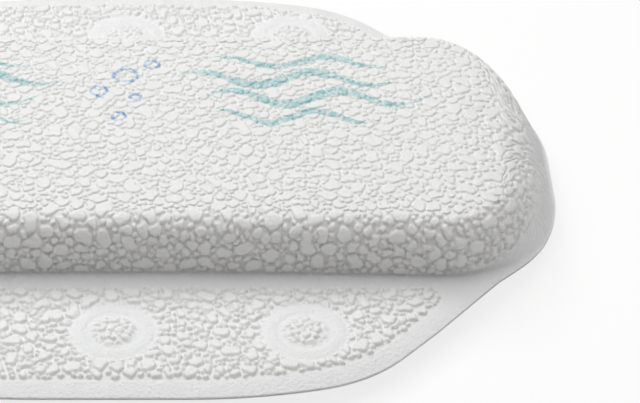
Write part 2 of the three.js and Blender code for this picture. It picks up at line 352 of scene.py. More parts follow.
def pebbleField(look):
    # inside distance of every pebble. Each one is a bent chain of circles, thrown from large to small;
    # all then grow until they meet: (second nearest - nearest) / 2 - groove, at most grow - nearest
    rng = np.random.default_rng(look["seed"])
    step, far, apart = look["step"], look["far"], look["apart"]
    extent = 2 * np.array([look["halfWidth"], look["halfHeight"]])
    width, height = (extent / step).astype(int)
    last = [width - 1, height - 1]
    nearest = np.full((height, width), far)
    second = nearest.copy()
    clear = pebbleRoom(look, width, height) + apart + look["overlap"]
    for large, small, room, tries in look["classes"]:
        wanted = int(extent.prod() / room)
        throws = wanted * tries
        radii = rng.uniform(small, large, throws)
        places = rng.uniform(0, 1, (throws, 2)) * extent
        headings = rng.uniform(0, 2 * math.pi, throws)
        bends = rng.normal(0, look["bend"], throws)
        stretches = rng.uniform(*look["stretch"], throws)
        longChains = rng.integers(*look["longChain"], throws)
        shortChains = rng.integers(*look["shortChain"], throws)
        links = np.where(radii > look["longFrom"], longChains, shortChains)
        starts = np.minimum((places / step).astype(int), last)
        made = 0
        for i in range(throws):
            column, row = starts[i]
            if min(nearest[row, column], clear[row, column]) < radii[i] + apart:
                continue
            chain, sizes = pebbleChain(
                look, places[i], radii[i], headings[i], bends[i], stretches[i], links[i])
            columns, rows = np.clip((chain / step).astype(int), 0, last).T
            if np.any(np.minimum(nearest[rows, columns], clear[rows, columns]) < sizes + apart):
                continue
            low = np.maximum(((chain.min(0) - radii[i] - far) / step).astype(int), 0)
            high = ((chain.max(0) + radii[i] + far) / step).astype(int) + 2
            high = np.minimum(high, [width, height])
            window = np.s_[low[1]:high[1], low[0]:high[0]]
            gridY, gridX = np.ogrid[window]
            away = np.full(nearest[window].shape, far)
            for (x, y), size in zip(chain, sizes):
                away = np.minimum(away, np.hypot(gridX * step - x, gridY * step - y) - size)
            second[window] = np.minimum(second[window], np.maximum(nearest[window], away))
            nearest[window] = np.minimum(nearest[window], away)
            made += 1
            if made == wanted:
                break
        print("pebbles of radius", small, "to", large, "mm:", made, "of", wanted)
    field = np.minimum((second - nearest) / 2 - look["groove"], look["grow"] - nearest)
    for axis in (0, 1):
        field = (np.roll(field, 1, axis) + 2 * field + np.roll(field, -1, axis)) / 4
    return field


pebbles = pebbleField(pebble)
print("pebble field:", pebbles.shape, "share raised", round(float((pebbles > 0).mean()), 3))


def warped(place, waves, p, q):
    # place + amount * sin(rate * p + rate * q), for each wave
    for amount, alongP, alongQ in waves:
        place = place + amount * np.sin(alongP * p + alongQ * q)
    return place


def pebbleDepth(p, q):
    # the field between its raster points, through a slow sine warp that bends the outlines
    height, width = pebbles.shape
    across = (warped(p, pebble["warpP"], p, q) + pebble["halfWidth"]) / pebble["step"]
    up = (warped(q, pebble["warpQ"], p, q) + pebble["halfHeight"]) / pebble["step"]
    across = np.clip(across, 0, width - 1 - pebble["rasterSpare"])
    up = np.clip(up, 0, height - 1 - pebble["rasterSpare"])
    column, row = across.astype(int), up.astype(int)
    across, up = across - column, up - row
    low = pebbles[row, column] * (1 - across) + pebbles[row, column + 1] * across
    high = pebbles[row + 1, column] * (1 - across) + pebbles[row + 1, column + 1] * across
    return low * (1 - up) + high * up


def pebbleHeight(depth, rise, shoulder):
    # a quarter-round shoulder from the groove up to a flat top: rise * sqrt(1 - (1 - t)^2)
    t = np.clip((depth + pebble["toe"]) / shoulder, 0, 1)
    return rise * np.sqrt(1 - (1 - t) ** 2)


def pebbleSnap(p, q, depth):
    # grid points slide along the field's slope towards the nearest pebble edge, which makes its
    # shoulder steep: -snap * depth * (1 - (depth / reach)^2) * slope / |slope|^2
    probe = pebble["probe"]
    slopeP = (pebbleDepth(p + probe, q) - pebbleDepth(p - probe, q)) / (2 * probe)
    slopeQ = (pebbleDepth(p, q + probe) - pebbleDepth(p, q - probe)) / (2 * probe)
    slide = -pebble["snap"] * depth * np.clip(1 - (depth / pebble["snapReach"]) ** 2, 0, 1)
    slide = slide / np.maximum(slopeP ** 2 + slopeQ ** 2, pebble["leastSlope"])
    return slide * slopeP, slide * slopeQ


# Cushion: the padded body of the pillow, one closed skin with its brim.
cushion = {
    "halfLength": 160.5,
    "halfDepth": 63.4,
    "corner": 46.0,
    "height": 24.0,
    "crownRise": 1.1,
    "sidePull": 2.0,
    "sideBulge": 1.6,
    "sideRound": 6.0,
    "crownHalfLength": 143.0,
    "crownCorner": 24.0,
    "cornerDrop": 1.6,  # the crown hangs this much lower at its corners
    "endFall": 2.2,  # and this much lower along its ends
    "endFallRun": 21.0,
    "endStart": 0.15,  # slope at the top of the end, as a share of its steepest
    "footHalfLength": 164.8,  # the skin's end runs out to here
    "endConvex": 0.65,  # share of the end's run that rounds over
    "endHollow": 0.05,  # and the share that flattens into the brim
    "endSamples": 801,
    "cornerRound": 12.0,  # height of the edge rounding at the corners
    "cornerFrom": 0.55,  # share of the long side where the rounding starts to grow
    "edgeSpare": 0.6,  # least brim outside the foot
    "brimLimit": 80.0,  # no brim is wider
    "brimLast": 0.99,  # the last row but one lies at this share of the brim
    "footFillet": 2.0,
    "bellyRun": 22.0,
    "skin": 1.2,
    "innerShares": [0, 0.15, 0.4, 0.65, 0.85, 0.96, 1.0],  # heights of the rows inside the skin
    "innerRise": 0.8,  # rise of the inside, halfway to its middle
    "columns": 740,
    "cornerRows": 92,
    "endRows": 186,
    "roundRows": 18,
    "wallRows": 38,
    "filletRows": 4,
    "brimRows": 10,
    "crownRelief": (0.64, 0.75),  # rise and shoulder of the pebbles
    "wallRelief": (1.2, 0.95),
    "wallFrom": (0.05, 0.75),  # the first passes into the second between these slopes
    "wallSpread": 0.12,  # the pebbles are swollen on the wall
    "sideFade": (0.03, 0.09),  # shares of the height where the pebbles fade out along the sides
    "endFade": (0.2, 0.7),  # and how much higher they do at the ends
    "creaseRelief": (0.45, 0.6),
    "creaseRates": (0.9, 2.2),  # the creases are the field, drawn out along X and narrowed along Y
    "creaseFade": (0.02, 0.12),
    "fill": 0.92,
    "mapMargin": 0.01,
    "mapFrom": (205.0, 120.0),  # the unrolled sheet in the piece's own map
    "mapSize": (410.0, 305.0),
    "mapInside": (0.80, 0.96),  # strip of the map for the inside
    "mapPole": (0.5, 0.99),
}
crownTop = sheetCut["top"] + cushion["height"]
crownHalfDepth = cushion["halfDepth"] - cushion["sideRound"]


def crownRows(look):
    # every crown row: its y, half its length, the direction of its end normal, its share of the end
    corner = look["crownCorner"]
    turn = np.linspace(-quarter, 0, look["cornerRows"] + 1)
    flat = np.linspace(-1, 1, look["endRows"] + 1)[1:-1]
    angle = np.concatenate([turn, np.zeros(len(flat)), -turn[::-1]])
    side = np.concatenate([np.full(len(turn), -1.0), flat, np.full(len(turn), 1.0)])
    y = side * (crownHalfDepth - corner) + corner * np.sin(angle)
    half = (look["crownHalfLength"] - corner) + corner * np.cos(angle)
    return {"y": y, "half": half, "angle": angle, "side": side}


def boundaryLoop(look):
    # columns of the wall, anticlockwise round the crown grid: grid index, side shares and normal
    n = look["columns"]
    rows = crownRows(look)
    count = len(rows["y"]) - 1
    front = {
        "index": np.arange(n),
        "sx": np.linspace(-1, 1, n + 1)[:-1],
        "sy": np.full(n, -1.0),
        "angle": np.full(n, -quarter),
    }
    right = {
        "index": np.arange(count) * (n + 1) + n,
        "sx": np.ones(count),
        "sy": rows["side"][:-1],
        "angle": rows["angle"][:-1],
    }
    parts = [front, right]
    for part in (front, right):
        parts.append({
            "index": (count + 1) * (n + 1) - 1 - part["index"],
            "sx": -part["sx"],
            "sy": -part["sy"],
            "angle": part["angle"] + math.pi,
        })
    loop = {key: np.concatenate([part[key] for part in parts]) for key in front}
    loop["normal"] = np.stack([np.cos(loop["angle"]), np.sin(loop["angle"])], 1)
    return loop


def roundedPlan(look, loop, halfLength, halfDepth, corner):
    # rounded rectangles: side share * straight + corner * normal, long sides drawn in
    nx, ny = loop["normal"].T
    onSide = (np.abs(nx) < touch) & (np.abs(loop["sy"]) == 1)
    pull = np.where(onSide, look["sidePull"] * (1 - loop["sx"] ** 2), 0)
    x = loop["sx"] * (halfLength - corner) + corner * nx
    y = loop["sy"] * (halfDepth - corner - pull) + corner * ny
    return x, y


def crownDroop(look, x, y):
    # the crown's corners hang: drop * (x / half length)^6 * (y / half depth)^3; its ends fall by a parabola
    alongX = np.clip(np.abs(x) / look["crownHalfLength"], 0, 1)
    alongY = np.clip(np.abs(y) / crownHalfDepth, 0, 1)
    nearEnd = np.clip(1 - (look["crownHalfLength"] - np.abs(x)) / look["endFallRun"], 0, 1)
    return look["cornerDrop"] * alongX ** 6 * alongY ** 3 + look["endFall"] * nearEnd ** 2


def endRun(look, share):
    # share of the end's run at each share of the height: its slope grows evenly, holds, then dies away
    # at the foot
    t = np.linspace(0, 1, look["endSamples"])
    growing = look["endStart"] + (1 - look["endStart"]) * t / look["endConvex"]
    slope = np.minimum(1, np.minimum(growing, (1 - t) / look["endHollow"]))
    fallen = np.concatenate([[0], np.cumsum((slope[1:] + slope[:-1]) / 2)])
    return np.interp(1 - share, fallen / fallen[-1], t)


def firstOutside(inside, limit):
    # least value up to the limit for which the test fails, found by halving
    low, high = np.zeros(len(limit)), limit
    for _ in range(halvings):
        middle = (low + high) / 2
        held = inside(middle)
        low, high = np.where(held, middle, low), np.where(held, high, middle)
    return high


def heldInside(x, y, fromX, fromY, spare):
    # points outside the sheet slide back towards a point inside it
    runX, runY = x - fromX, y - fromY
    share = firstOutside(lambda s: insetAt(fromX + runX * s, fromY + runY * s) > spare, np.ones(len(x)))
    return fromX + runX * share, fromY + runY * share


def wallPlan(look, loop, share, footHalfLength, inset):
    # wall rings between the foot and the crown edge: along X the end's run, along Y a rounded edge over
    # a swollen wall; the rounding grows taller towards the corners
    share = np.asarray(share)[:, None]
    depth, crownCorner, corner = (look[key] - inset for key in ("halfDepth", "crownCorner", "corner"))
    edgeX, edgeY = roundedPlan(
        look, loop, look["crownHalfLength"] - inset, depth - look["sideRound"], crownCorner)
    footX, footY = roundedPlan(look, loop, footHalfLength - inset, depth, corner)
    footX, footY = heldInside(footX, footY, edgeX, edgeY, look["edgeSpare"])
    nearCorner = smoothStep(look["cornerFrom"], 1.0, np.abs(loop["sx"]))
    nearCorner = np.where(np.abs(loop["sy"]) == 1, nearCorner, 1.0)
    tall = look["sideRound"] + (look["cornerRound"] - look["sideRound"]) * nearCorner
    over = np.clip((share * look["height"] - (look["height"] - tall)) / tall, 0, 1)
    rounded = 1 - np.sqrt(1 - over ** 2)
    swell = look["sideBulge"] * np.sin(math.pi * share) * loop["normal"][:, 1]
    x = footX + (edgeX - footX) * (1 - endRun(look, share))
    y = footY + (edgeY - footY) * rounded + swell
    return x, y


def brimRings(x, y, normal, share):
    # rings at these shares of the way along the normal to the seam line or the outline
    px, py, nx, ny = np.abs([x, y, *normal.T])

    def inside(run):
        qx, qy = px + nx * run, py + ny * run
        return (qy < seam) & (qx < halfLengthAt(qy))

    run = share[:, None] * firstOutside(inside, np.full(len(x), cushion["brimLimit"]))
    return x + run * normal[:, 0], y + run * normal[:, 1]


def crownGrid(look):
    # unrolled place of every crown point, and its plain form: sides drawn in, corners and ends hanging
    rows = crownRows(look)
    columns = look["columns"] + 1
    x = np.linspace(-1, 1, columns) * rows["half"][:, None]
    y = np.repeat(rows["y"][:, None], columns, 1)
    straight = look["crownHalfLength"] - look["crownCorner"]
    pull = look["sidePull"] * np.clip(1 - (x / straight) ** 2, 0, 1)
    planY = y - np.sign(y) * pull * (y / crownHalfDepth) ** 2
    return np.stack([x, y], -1), rings(x, planY, crownTop - crownDroop(look, x, y))


def pressCrown(look, flat, plain):
    # the crown swells by rise * (1 - (x / half length)^2) * (1 - (y / half depth)^2), and its pebbles
    # stand up from it
    x, y = flat[..., 0], flat[..., 1]
    swell = look["crownRise"] * (1 - (x / look["crownHalfLength"]) ** 2) * (1 - (y / crownHalfDepth) ** 2)
    depth = pebbleDepth(x, y)
    rise, shoulder = look["crownRelief"]
    slideX, slideY = pebbleSnap(x, y, depth)
    pressed = plain + rings(slideX, slideY, swell + pebbleHeight(depth, rise, shoulder))
    return pressed, pebbleHeight(depth, 1.0, shoulder)


def wallRings(look, loop, edgeDroop):
    # rows of the rounded edge, the wall, the fillet at its foot and the brim, with each row's height share
    high, fillet = look["height"], look["footFillet"]
    turn = steps(0, quarter, look["filletRows"])
    drop = np.concatenate([
        look["sideRound"] * (1 - np.cos(steps(0, quarter, look["roundRows"]))),
        steps(look["sideRound"], high - fillet, look["wallRows"]),
        high - fillet + fillet * np.sin(turn),
    ])
    share = 1 - drop / high
    out = np.concatenate([np.zeros(len(drop) - len(turn)), fillet * (1 - np.cos(turn))])[:, None]
    nx, ny = loop["normal"].T
    out = out * (1 - nx ** 2)
    x, y = wallPlan(look, loop, share, look["footHalfLength"], 0)
    x, y = x + out * nx, y + out * ny
    level = share[:, None]
    z = sheetCut["top"] + level * (high - edgeDroop) - (1 - level) * droopAt(x, y)
    brimShare = np.append(np.linspace(0, 1, look["brimRows"])[1:-1], [look["brimLast"], 1])
    brimX, brimY = brimRings(x[-1], y[-1], loop["normal"], brimShare)
    brim = rings(brimX, brimY, sheetCut["top"] - droopAt(brimX, brimY))
    return np.concatenate([rings(x, y, z), brim]), np.concatenate([level, np.zeros((len(brim), 1))])


def unrolled(edge, flatEdge, wall, normal):
    # unrolled place of every wall point: its plan, pushed out by how much longer the way down the wall is;
    # and the outward and upward parts of the wall's own normal, from its slope
    stacked = np.concatenate([edge[None], wall])
    run = np.cumsum(np.linalg.norm(np.diff(stacked, axis=0), axis=2), 0)
    shift = wall[..., :2] - edge[:, :2]
    longer = run - (shift * normal).sum(-1)
    slope = np.gradient(stacked, axis=0)[1:]
    radial = (slope[..., :2] * normal).sum(-1)
    length = np.maximum(np.hypot(radial, slope[..., 2]), touch)
    return flatEdge + shift + longer[..., None] * normal, -slope[..., 2] / length, radial / length


def pressWall(look, wall, level, normal, flat, outward, upward):
    # pebbles stand out along the wall's own normal, taller where it is steep; low on the ends they are
    # stretched out into faint creases that run down the slope
    p, q = flat[..., 0], flat[..., 1]
    nx, ny = normal.T
    endness = nx ** 2
    steep = smoothStep(*look["wallFrom"], 1 - upward)
    reliefs = zip(look["crownRelief"], look["wallRelief"])
    rise, shoulder = (crown + (side - crown) * steep for crown, side in reliefs)
    fades = zip(look["sideFade"], look["endFade"])
    fade = smoothStep(*(side + end * endness for side, end in fades), level)
    depth = pebbleDepth(p, q)
    raised = pebbleHeight(depth + look["wallSpread"] * steep, rise, shoulder) * fade
    rateP, rateQ = look["creaseRates"]
    creased = pebbleHeight(pebbleDepth(rateP * p, rateQ * q), *look["creaseRelief"])
    raised = raised + creased * (1 - fade) * endness * smoothStep(*look["creaseFade"], level)
    slideP, slideQ = pebbleSnap(p, q, depth)
    down = (slideP * nx + slideQ * ny) * fade
    along = (slideQ * nx - slideP * ny) * fade
    out = raised * outward + down * upward
    pressed = wall + rings(out * nx - along * ny, out * ny + along * nx, raised * upward - down * outward)
    return pressed, 1 - fade * (1 - pebbleHeight(depth, 1.0, shoulder)), fade


def innerRings(look, loop, rim, edgeDroop):
    # the inside of the skin: the brim's underside, the inner wall, and a ring halfway in under the crown
    x, y = rim[:, 0], rim[:, 1]
    underside = rings(x, y, sheetCut["bottom"] - droopAt(x, y) + edgeThinning(x, y))
    level = np.array(look["innerShares"])[:, None]
    x, y = wallPlan(look, loop, look["innerShares"], look["halfLength"], look["skin"])
    ceiling = crownTop - look["skin"]
    span = ceiling - sheetCut["bottom"] - edgeDroop
    z = sheetCut["bottom"] + level * span - (1 - level) * droopAt(x, y)
    halfway = rings(x[-1] / 2, y[-1] / 2, ceiling + look["innerRise"])
    return np.concatenate([underside, rings(x, y, z), halfway])


def cushionSkin(look):
    # crown grid first, then the rings of wall, brim and inside, closed by a pole under the crown
    flat, plain = crownGrid(look)
    loop = boundaryLoop(look)
    index, normal = loop["index"], loop["normal"]
    flatEdge, edge = flat.reshape(-1, 2)[index], plain.reshape(-1, 3)[index]
    edgeDroop = crownDroop(look, *flatEdge.T)
    wall, level = wallRings(look, loop, edgeDroop)
    inner = innerRings(look, loop, wall[-1], edgeDroop)
    wallFlat, outward, upward = unrolled(edge, flatEdge, wall, normal)
    wall, wallRelief, fade = pressWall(look, wall, level, normal, wallFlat, outward, upward)
    crown, crownRelief = pressCrown(look, flat, plain)

    pole = (0, 0, crownTop - look["skin"] + look["crownRise"])
    below, wallQuads, triangles = ringShell(np.concatenate([wall, inner]), endPole=pole)
    first = crownRelief.size
    points = np.concatenate([crown.reshape(-1, 3), below])
    ring = first + np.arange(len(index))
    hem = np.stack([index, ring, np.roll(ring, -1), np.roll(index, -1)], 1)
    quads = np.concatenate([gridQuads(*flat.shape[:2]), hem, first + wallQuads[:, ::-1]])

    # unrolled sheet as the piece's own map, the inside in a strip of its own
    margin = look["mapMargin"]
    sheet = np.concatenate([flat.reshape(-1, 2), wallFlat.reshape(-1, 2)])
    sheet = margin + (1 - 2 * margin) * (sheet + look["mapFrom"]) / look["mapSize"]
    around = np.linspace(margin, 1 - margin, len(index))
    strip = np.stack(np.meshgrid(around, np.linspace(*look["mapInside"], len(inner))), -1)
    uv = np.concatenate([sheet, strip.reshape(-1, 2), [look["mapPole"]]])
    hidden = len(points) - len(sheet)
    relief = np.concatenate([crownRelief.ravel(), wallRelief.ravel(), np.ones(hidden)])
    grain = np.concatenate([np.ones(first), fade.ravel(), np.zeros(hidden)])
    marks = {"relief": relief, "grain": grain}
    return makePiece("cushion_skin", points, quads, first + triangles[:, ::-1], uv, marks)


cushionPiece = cushionSkin(cushion)
print("cushion skin:", len(cushionPiece.data.polygons), "faces")


def flangeGrid(x, share, gap=0.0):
    # x and y of rows at these shares of the way from the seam line to the free edge, or to a gap from it
    y = seam + (halfDepthAt(x)[:, None] - gap - seam) * share
    return np.broadcast_to(x[:, None], y.shape), y


def flangeTop(x, y, direction, look):
    # the top face: pebbles on the panel, a low torus with a faint ripple at each ring, a dome over each
    # cup's head, and the free edge rolled over by a small radius
    q = direction * (y - seam + look["fieldStart"])
    depth = pebbleDepth(x, q)
    r = cupDistance(x, y, look)
    lap = look["ringLap"]
    pebbled = smoothStep(*look["panelFade"], panelInside(x, y, look))
    pebbled = pebbled * smoothStep(-lap, lap, offRing(r, look))
    lower = np.where(r < look["ringInner"] + lap, look["middleRelief"], 1.0)
    rise, shoulder = look["relief"]
    raised = pebbleHeight(depth, rise, shoulder) * pebbled * lower
    across = np.clip((r - look["ringInner"]) / (look["ringOuter"] - look["ringInner"]), 0, 1)
    torus = np.sin(math.pi * across) ** 2
    ripple = look["ringRipple"] * torus * np.sin(look["rippleTurn"] * across)
    dome = look["pocketRise"] * (1 - smoothStep(*look["pocketDome"], r))
    z = sheetCut["top"] - droopAt(x, y) + raised + look["ringRise"] * torus + ripple + dome
    edge, small = halfDepthAt(x), look["edgeRound"]
    roll = np.clip((y - (edge - small)) / small, 0, 1)
    deep = edge - seam > look["roundFrom"]
    z = z - small * (1 - np.sqrt(1 - roll ** 2)) * deep
    slideP, slideQ = pebbleSnap(x, q, depth)
    pressed = rings(x + slideP * pebbled, direction * y + slideQ * pebbled, z)
    return pressed, 1 - pebbled * (1 - pebbleHeight(depth, 1.0, shoulder)), pebbled


flangeHalfLength = halfLengthAt(seam + sheetCut["seamSpare"])


def flangeSkin(name, direction, look):
    # section across the flange: top rows out to the free edge, round it, under rows back to the seam
    fine = look["panelHalfLength"] + look["columnSpare"]
    beyond = steps(fine, flangeHalfLength, look["endColumns"])
    x = np.concatenate([-beyond[::-1], np.linspace(-fine, fine, look["panelColumns"] + 1), beyond])
    topShare = np.concatenate([
        [0],
        np.linspace(look["firstRow"], look["panelRowsEnd"], look["panelRows"]),
        steps(look["panelRowsEnd"], look["borderRowsEnd"], look["borderRows"]),
        steps(look["borderRowsEnd"], 1, look["edgeRows"]),
    ])
    topX, topY = flangeGrid(x, topShare)
    top, relief, pebbled = flangeTop(topX, topY, direction, look)
    underX, underY = flangeGrid(x, np.concatenate([np.linspace(*rows) for rows in look["underRows"]]))
    hollow = 1 - smoothStep(*look["hollowWall"], cupDistance(underX, underY, look))
    underZ = sheetCut["bottom"] - droopAt(underX, underY) + look["hollowRise"] * hollow
    underZ = underZ + edgeThinning(underX, underY)
    section = np.concatenate([top, rings(underX, direction * underY, underZ)], 1)
    points, quads, triangles = ringShell(section, *section[[0, -1]].mean(1))

    # the piece's own map: the top below, the underside turned over above it
    mapLength, mapDepth = look["mapSize"]
    topShare, underShare = ((y - seam) / mapDepth for y in (topY, underY))
    (topFrom, topSpan), (underFrom, underSpan) = look["mapTop"], look["mapUnder"]
    down = np.concatenate([topFrom + topSpan * topShare, underFrom + underSpan * (1 - underShare)], 1)
    along = np.concatenate([topX, underX], 1) / mapLength + 0.5
    uv = np.concatenate([np.stack([along, down], -1).reshape(-1, 2), look["mapEnds"]])
    marks = {}
    for key, values, rest in (("relief", relief, 1.0), ("grain", pebbled, 0.0)):
        under = np.full(underX.shape, rest)
        marks[key] = np.append(np.concatenate([values, under], 1), [rest, rest])
    piece = makePiece(name, points, quads, triangles, uv, marks)
    print(name, len(piece.data.polygons), "faces")
    return piece


skins = {side: flangeSkin(f"{side}_flange_skin", direction, flange) for side, direction in sides.items()}

# Back film: thin clear-white film under the foam, with its flanges behind the pebbled ones.
film = {
    "thickness": 0.4,
    "columns": 220,
    "rows": 52,
    "edgeGap": 0.3,
    "holeRadius": 3.6,
    "holeSlack": 0.9,  # faces that come closer to a hole's middle than its radius less this are left out
    "bellyLoop": {"columns": 160, "cornerRows": 36, "endRows": 20},
    "bellyRows": 12,
    "floorRows": 10,
    "brimRows": 5,
    "ripple": 0.35,
    "rippleWaves": 26,
}


def thicken(piece, thickness):
    # Solidify downwards, applied, so that later steps see the final mesh
    modifier = piece.modifiers.new("wall", "SOLIDIFY")
    modifier.thickness = thickness * mm
    modifier.offset = -1
    graph = bpy.context.evaluated_depsgraph_get()
    solid = bpy.data.meshes.new_from_object(piece.evaluated_get(graph))
    piece.modifiers.clear()
    piece.data = solid
    solid.name = piece.name
    return piece


def flangeFilm(name, direction, look):
    # a flat grid under the flange; faces over each neck are left out, and the hole's rim is drawn to
    # a circle: middle + (place - middle) * hole radius / distance
    across = np.linspace(-flangeHalfLength, flangeHalfLength, look["columns"] + 1)
    x, y = flangeGrid(across, np.linspace(0, 1, look["rows"] + 1), look["edgeGap"])
    quads = gridQuads(*x.shape)
    x, y = x.ravel(), y.ravel()
    r = cupDistance(x, y, flange)
    keep = r[quads].min(1) > look["holeRadius"] - look["holeSlack"]
    opened, inUse = np.zeros((2, len(x)), bool)
    opened[quads[~keep].ravel()] = True
    inUse[quads[keep].ravel()] = True
    scale = np.where(opened & inUse, look["holeRadius"] / np.maximum(r, touch), 1)
    middle = nearestCup(x, flange)
    x = middle + (x - middle) * scale
    y = flange["cupRow"] + (y - flange["cupRow"]) * scale
    z = sheetCut["filmTop"] - droopAt(x, y) + edgeThinning(x, y)
    order = np.cumsum(inUse) - 1
    kept = order[quads[keep]]
    points = np.stack([x, direction * y, z], -1)[inUse]
    return thicken(makePiece(name, points, kept if direction < 0 else kept[:, ::-1]), look["thickness"])


def bellyRings(body, loop, rows, inset, floor, weld):
    # a quarter-round belly from the floor up to the weld, under the body's outline drawn in all round
    lift = np.linspace(0, quarter, rows + 1)[:, None]
    shrink = cushion["bellyRun"] * (1 - np.sin(lift)) + inset
    x, y = roundedPlan(body, loop, *(body[key] - shrink for key in ("halfLength", "halfDepth", "corner")))
    return lift, x, y, floor + (weld - floor) * (1 - np.cos(lift)) - np.sin(lift) * droopAt(x, y)


def bellyFilm(look):
    # rings from the flat floor up the belly to the weld, rippled at its corners, then out to the seam line
    body = dict(cushion, **look["bellyLoop"])
    loop = boundaryLoop(body)
    angle, normal = loop["angle"], loop["normal"]
    lift, x, y, z = bellyRings(body, loop, look["bellyRows"], 0.0, 0.0, sheetCut["filmBottom"])
    ripple = look["ripple"] * np.sin(2 * angle) ** 2 * np.sin(look["rippleWaves"] * angle)
    ripple = ripple * np.sin(2 * lift) ** 2
    x, y = x + ripple * normal[:, 0], y + ripple * normal[:, 1]
    inward = np.linspace(0, 1, look["floorRows"] + 1)[1:-1, None]
    brimX, brimY = brimRings(x[-1], y[-1], normal, steps(0, 1, look["brimRows"]))
    brimZ = sheetCut["filmBottom"] - droopAt(brimX, brimY) + edgeThinning(brimX, brimY)
    floor = rings(inward * x[0], inward * y[0], 0.0)
    shell = np.concatenate([floor, rings(x, y, z), rings(brimX, brimY, brimZ)])
    points, quads, triangles = ringShell(shell, startPole=(0, 0, 0))
    return thicken(makePiece("belly_film", points, quads[:, ::-1], triangles[:, ::-1]), look["thickness"])


bellyPiece = bellyFilm(film)
films = {side: flangeFilm(f"{side}_film", direction, film) for side, direction in sides.items()}
print("films:", len(bellyPiece.data.polygons), len(films["front"].data.polygons), "faces")

# Foam block: closed rings from the floor, up the belly and the wall, to the crown.
foam = {
    "inset": 1.5,
    "footHalfLength": 160.5,
    "floor": 0.7,
    "loop": {"columns": 120, "cornerRows": 28, "endRows": 16},
    "wallRows": 22,
    "bellyRows": 10,
    "crownRows": 5,
    "fill": 1.0,
}


def foamBlock(look):
    # the film's belly, drawn in, the cushion's wall with rows that close up towards the crown, and rows
    # over the crown to its middle: high + rise * (1 - share^2)
    body = dict(cushion, **look["loop"])
    loop = boundaryLoop(body)
    inset, low = look["inset"], sheetCut["bottom"]
    belly = bellyRings(body, loop, look["bellyRows"], inset, look["floor"], low)[1:]
    level = np.sin(steps(0, quarter, look["wallRows"]))
    x, y = wallPlan(body, loop, level, look["footHalfLength"], inset)
    level = level[:, None]
    high = crownTop - inset
    z = low + level * (high - low - crownDroop(cushion, x[-1], y[-1])) - (1 - level) * droopAt(x, y)
    inward = np.linspace(1, 0, look["crownRows"] + 1)[1:-1, None]
    crownX, crownY = inward * x[-1], inward * y[-1]
    crownZ = high + cushion["crownRise"] * (1 - inward ** 2) - crownDroop(cushion, crownX, crownY)
    shell = np.concatenate([rings(*belly), rings(x, y, z), rings(crownX, crownY, crownZ)])
    poles = (0, 0, look["floor"]), (0, 0, high + cushion["crownRise"])
    return makePiece("foam_block", *ringShell(shell, *poles))


foamPiece = foamBlock(foam)
print("foam block:", len(foamPiece.data.polygons), "faces")

# Suction cups: one lathed moulding each, with a lipped rim, a skirt, a neck and a button head.
cup = {
    "radius": 20.0,
    "rimWidth": 1.8,
    "rimHeight": 0.7,
    "wall": 2.0,
    "skirtInset": 1.2,  # the skirt's outside starts this far inside the rim
    "skirtStart": 0.05,  # and at this share of its quarter turn
    "skirtHeight": 6.9,
    "neckRadius": 3.2,
    "neckFlare": 1.2,
    "headBottom": 9.7,
    "headRadius": 6.0,
    "headThickness": 1.2,
    "headFillet": 0.25,
    "dish": [(2.2, 0.0), (1.9, 0.12), (0.0, 0.12)],  # radius, depth below the head's top
    "nub": [(0.0, 3.4), (0.7, 3.45), (1.0, 3.7), (1.15, 4.3), (1.7, 4.75)],  # radius, height
    "nubPlace": 2,  # the nub takes the place of this many points of the hollow
    "hollowSteps": 15,
    "rimSteps": 9,
    "skirtSteps": 18,
    "flareSteps": 6,
    "headSteps": 7,
    "segments": 96,
}
cupColumns = {"left": -1, "centre": 0, "right": 1}


def cupProfile(look):
    # radius and height pairs from the hollow's middle, round the rim, up the skirt to the head
    neck, flare, skirtTop = look["neckRadius"], look["neckFlare"], look["skirtHeight"]
    hollowSize = (look["radius"] - look["rimWidth"], skirtTop - look["wall"])
    hollow = arcPoints((0, 0), hollowSize, quarter, 0, look["hollowSteps"])
    bead = look["rimHeight"] / 2
    rim = arcPoints((look["radius"] - bead, bead), bead, -quarter, quarter, look["rimSteps"])
    shoulder = neck + flare
    skirtSize = (look["radius"] - look["skirtInset"] - shoulder, skirtTop - look["rimHeight"])
    skirtStart = look["skirtStart"] * quarter
    skirt = arcPoints((shoulder, look["rimHeight"]), skirtSize, skirtStart, quarter, look["skirtSteps"])
    flared = arcPoints((shoulder, skirtTop + flare), flare, -quarter, -math.pi, look["flareSteps"])
    bottom, fillet = look["headBottom"], look["headFillet"]
    under = [(neck, bottom - fillet), (neck + fillet, bottom)]
    bead = look["headThickness"] / 2
    head = arcPoints((look["headRadius"] - bead, bottom + bead), bead, -quarter, quarter, look["headSteps"])
    dish = [(radius, bottom + look["headThickness"] - deep) for radius, deep in look["dish"]]
    hollow = hollow[look["nubPlace"]:]
    return np.concatenate([look["nub"], hollow, rim, skirt, flared[1:], under, head, dish])


def suctionCup(name, x, y, look):
    # the profile carried round Z; its two ends close at poles
    profile = cupProfile(look)
    angle = np.linspace(0, 2 * math.pi, look["segments"], endpoint=False)
    radius, height = profile[1:-1].T[..., None]
    shell = rings(x + radius * np.cos(angle), y + radius * np.sin(angle), height)
    return makePiece(name, *ringShell(shell, (x, y, profile[0, 1]), (x, y, profile[-1, 1])))


cupPieces = {}
for side, direction in sides.items():
    for column, share in cupColumns.items():
        place = (share * flange["cupPitch"], direction * flange["cupRow"])
        cupPieces[side, column] = suctionCup(f"suction_cup_{side}_{column}", *place, cup)
print("cups:", len(cupPieces))


